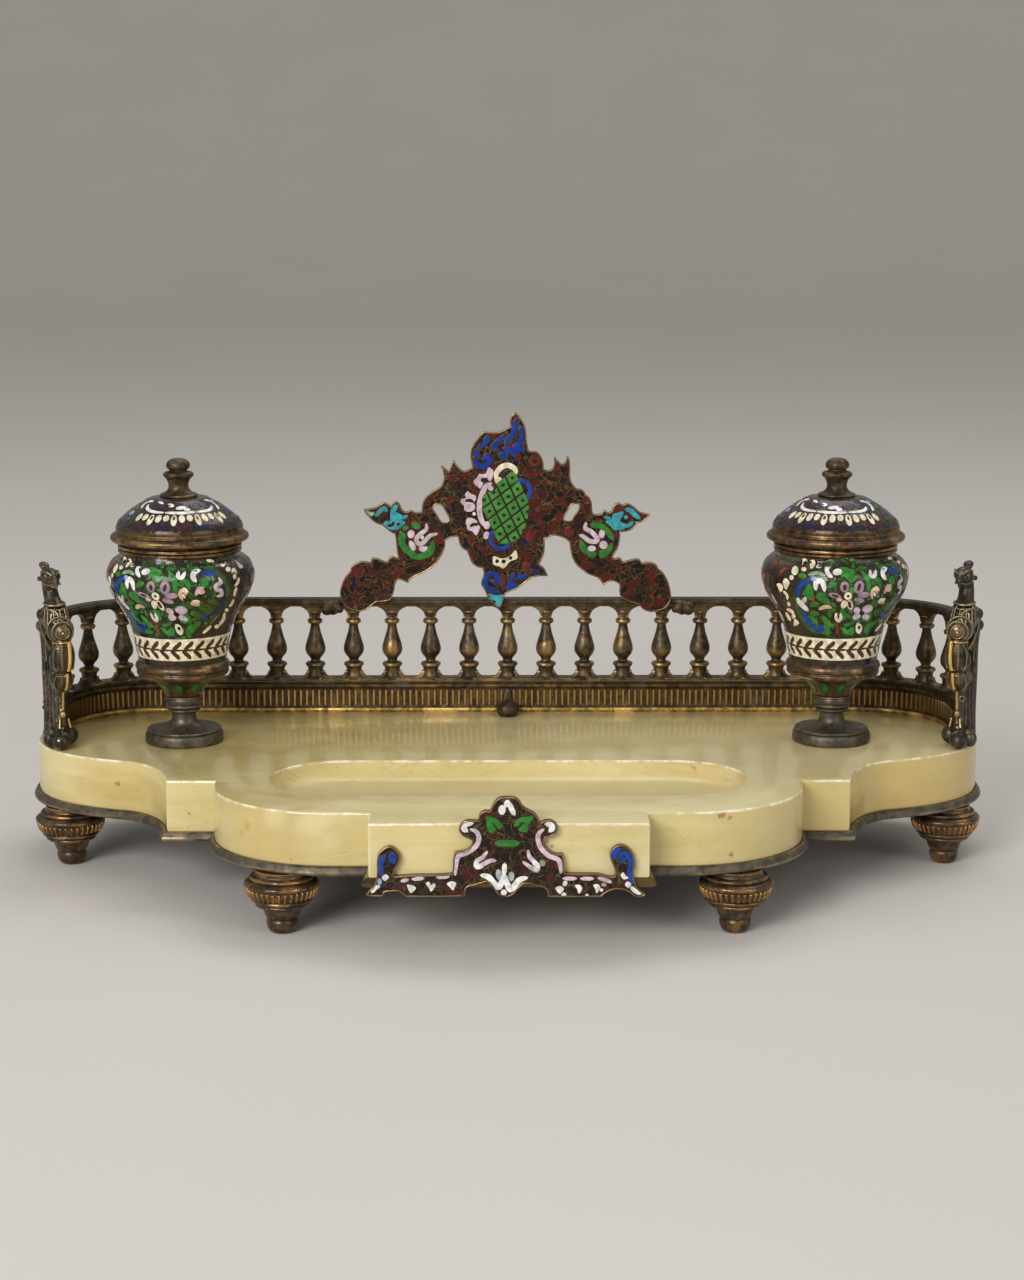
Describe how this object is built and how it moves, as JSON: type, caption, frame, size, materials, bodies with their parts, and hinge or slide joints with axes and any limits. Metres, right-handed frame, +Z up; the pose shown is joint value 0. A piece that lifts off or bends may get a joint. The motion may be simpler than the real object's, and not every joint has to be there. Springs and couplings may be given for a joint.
{
  "type": "desk inkstand",
  "caption": "Free-standing onyx plateau with a scooped pen tray, a balustrade gallery, an enamelled crest and front mount, and lift-off lids on footed urn inkwells.",
  "frame": {"origin": "on the desk under the middle of the overall width and depth", "axes": "+X along the width to the writer's right, +Y away from the writer towards the gallery, +Z up"},
  "size_m": [0.4076, 0.2096, 0.1836],
  "materials": {
    "onyx": "polished pale yellow-green banded onyx",
    "aged_bronze": "dark brown patina rubbed bright on the high spots",
    "gilt_bronze": "worn gilding over brown patina",
    "dark_enamel": "champleve enamel, glossy dark aubergine ground between bronze lines",
    "green_enamel": "champleve enamel, glossy green ground with flowers between bronze lines",
    "glazed_pottery": "white glazed pottery",
    "steel": "plain turned steel"
  },
  "bodies": {
    "stand": {"onyx_plateau": "onyx", "under_tray": "aged_bronze", "foot_front_left": "aged_bronze", "foot_front_right": "aged_bronze", "foot_side_left": "aged_bronze", "foot_side_right": "aged_bronze", "foot_back_left": "aged_bronze", "foot_back_right": "aged_bronze", "gallery_base": "gilt_bronze", "gallery_top_rail": "aged_bronze", "baluster_01": "aged_bronze", "baluster_02": "aged_bronze", "baluster_03": "aged_bronze", "baluster_04": "aged_bronze", "baluster_05": "aged_bronze", "baluster_06": "aged_bronze", "baluster_07": "aged_bronze", "baluster_08": "aged_bronze", "baluster_09": "aged_bronze", "baluster_10": "aged_bronze", "baluster_11": "aged_bronze", "baluster_12": "aged_bronze", "baluster_13": "aged_bronze", "baluster_14": "aged_bronze", "baluster_15": "aged_bronze", "baluster_16": "aged_bronze", "baluster_17": "aged_bronze", "baluster_18": "aged_bronze", "baluster_19": "aged_bronze", "baluster_20": "aged_bronze", "baluster_21": "aged_bronze", "baluster_22": "aged_bronze", "baluster_23": "aged_bronze", "baluster_24": "aged_bronze", "baluster_25": "aged_bronze", "gallery_bud": "aged_bronze", "griffin_left": "gilt_bronze", "griffin_right": "gilt_bronze", "crest_plate": "dark_enamel", "crest_clasp_left": "aged_bronze", "crest_clasp_right": "aged_bronze", "front_mount": "dark_enamel", "left_urn_stud": "steel", "left_urn_foot": "aged_bronze", "left_urn_cup": "green_enamel", "left_urn_body": "green_enamel", "left_urn_collar": "gilt_bronze", "left_ink_pot": "glazed_pottery", "right_urn_stud": "steel", "right_urn_foot": "aged_bronze", "right_urn_cup": "green_enamel", "right_urn_body": "green_enamel", "right_urn_collar": "gilt_bronze", "right_ink_pot": "glazed_pottery"},
    "left_lid": {"left_lid_rim": "aged_bronze", "left_lid_dome": "dark_enamel", "left_lid_finial": "aged_bronze"},
    "right_lid": {"right_lid_rim": "aged_bronze", "right_lid_dome": "dark_enamel", "right_lid_finial": "aged_bronze"}
  },
  "joints": [
    {"name": "left_lid_lift", "type": "slide", "parent": "stand", "child": "left_lid", "axis": [0, 0, 1], "range_m": [0, 0.06]},
    {"name": "right_lid_lift", "type": "slide", "parent": "stand", "child": "right_lid", "axis": [0, 0, 1], "range_m": [0, 0.06]}
  ]
}
